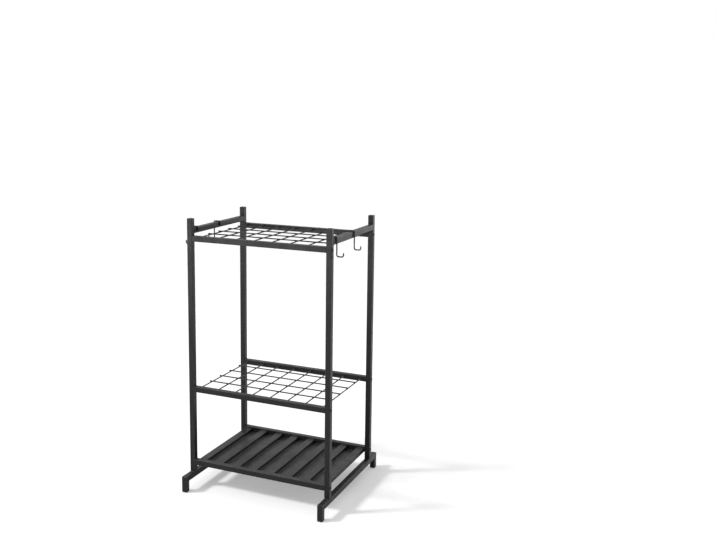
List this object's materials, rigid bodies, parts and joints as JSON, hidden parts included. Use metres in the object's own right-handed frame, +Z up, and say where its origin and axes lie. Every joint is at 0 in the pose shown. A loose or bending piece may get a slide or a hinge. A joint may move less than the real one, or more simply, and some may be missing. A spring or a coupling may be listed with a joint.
{
  "type": "garden tool rack",
  "caption": "Freestanding square-tube rack for long garden tools, with wire grids that part the handles, a ribbed bottom tray and sliding wire hooks on its side rails.",
  "frame": {"origin": "on the floor below the middle of the rack, the bottom centre of its bounding box", "axes": "+Z up, +X to the rack's right along its long cross rails, -Y to its front"},
  "size_m": [0.685, 0.568, 1.1051],
  "materials": {
    "tube_coat": "satin black powder coat with a fine grain",
    "wire_coat": "satin black powder coat, a little smoother on the drawn wire",
    "cap_plastic": "matte black moulded plastic"
  },
  "bodies": {
    "frame": {"base_tube_left": "tube_coat", "side_rail_left": "tube_coat", "leg_front_left": "tube_coat", "post_front_left": "tube_coat", "leg_rear_left": "tube_coat", "post_rear_left": "tube_coat", "base_tube_right": "tube_coat", "side_rail_right": "tube_coat", "leg_front_right": "tube_coat", "post_front_right": "tube_coat", "leg_rear_right": "tube_coat", "post_rear_right": "tube_coat", "top_rail_front": "tube_coat", "top_rail_rear": "tube_coat", "middle_rail_front": "tube_coat", "middle_rail_rear": "tube_coat", "tray_rail_front": "tube_coat", "tray_rail_rear": "tube_coat", "tray_sheet": "tube_coat", "post_cap_front_left": "cap_plastic", "post_cap_rear_left": "cap_plastic", "post_cap_front_right": "cap_plastic", "post_cap_rear_right": "cap_plastic", "glide_front_left": "cap_plastic", "glide_rear_left": "cap_plastic", "glide_front_right": "cap_plastic", "glide_rear_right": "cap_plastic", "top_grid_long_wire_1": "wire_coat", "top_grid_long_wire_2": "wire_coat", "top_grid_long_wire_3": "wire_coat", "top_grid_long_wire_4": "wire_coat", "top_grid_long_wire_5": "wire_coat", "top_grid_long_wire_6": "wire_coat", "top_grid_long_wire_7": "wire_coat", "top_grid_long_wire_8": "wire_coat", "top_grid_cross_wire_1": "wire_coat", "top_grid_cross_wire_2": "wire_coat", "top_grid_cross_wire_3": "wire_coat", "top_grid_cross_wire_4": "wire_coat", "middle_grid_long_wire_1": "wire_coat", "middle_grid_long_wire_2": "wire_coat", "middle_grid_long_wire_3": "wire_coat", "middle_grid_long_wire_4": "wire_coat", "middle_grid_long_wire_5": "wire_coat", "middle_grid_long_wire_6": "wire_coat", "middle_grid_long_wire_7": "wire_coat", "middle_grid_long_wire_8": "wire_coat", "middle_grid_cross_wire_1": "wire_coat", "middle_grid_cross_wire_2": "wire_coat", "middle_grid_cross_wire_3": "wire_coat", "middle_grid_cross_wire_4": "wire_coat"},
    "hook_front_left": {"hook_front_left": "wire_coat"},
    "hook_rear_left": {"hook_rear_left": "wire_coat"},
    "hook_front_right": {"hook_front_right": "wire_coat"},
    "hook_rear_right": {"hook_rear_right": "wire_coat"}
  },
  "joints": [
    {"name": "hook_front_left_slide", "type": "slide", "parent": "frame", "child": "hook_front_left", "axis": [0, 1, 0], "range_m": [-0.016, 0.08]},
    {"name": "hook_rear_left_slide", "type": "slide", "parent": "frame", "child": "hook_rear_left", "axis": [0, 1, 0], "range_m": [-0.08, 0.202]},
    {"name": "hook_front_right_slide", "type": "slide", "parent": "frame", "child": "hook_front_right", "axis": [0, 1, 0], "range_m": [-0.016, 0.08]},
    {"name": "hook_rear_right_slide", "type": "slide", "parent": "frame", "child": "hook_rear_right", "axis": [0, 1, 0], "range_m": [-0.08, 0.202]}
  ]
}
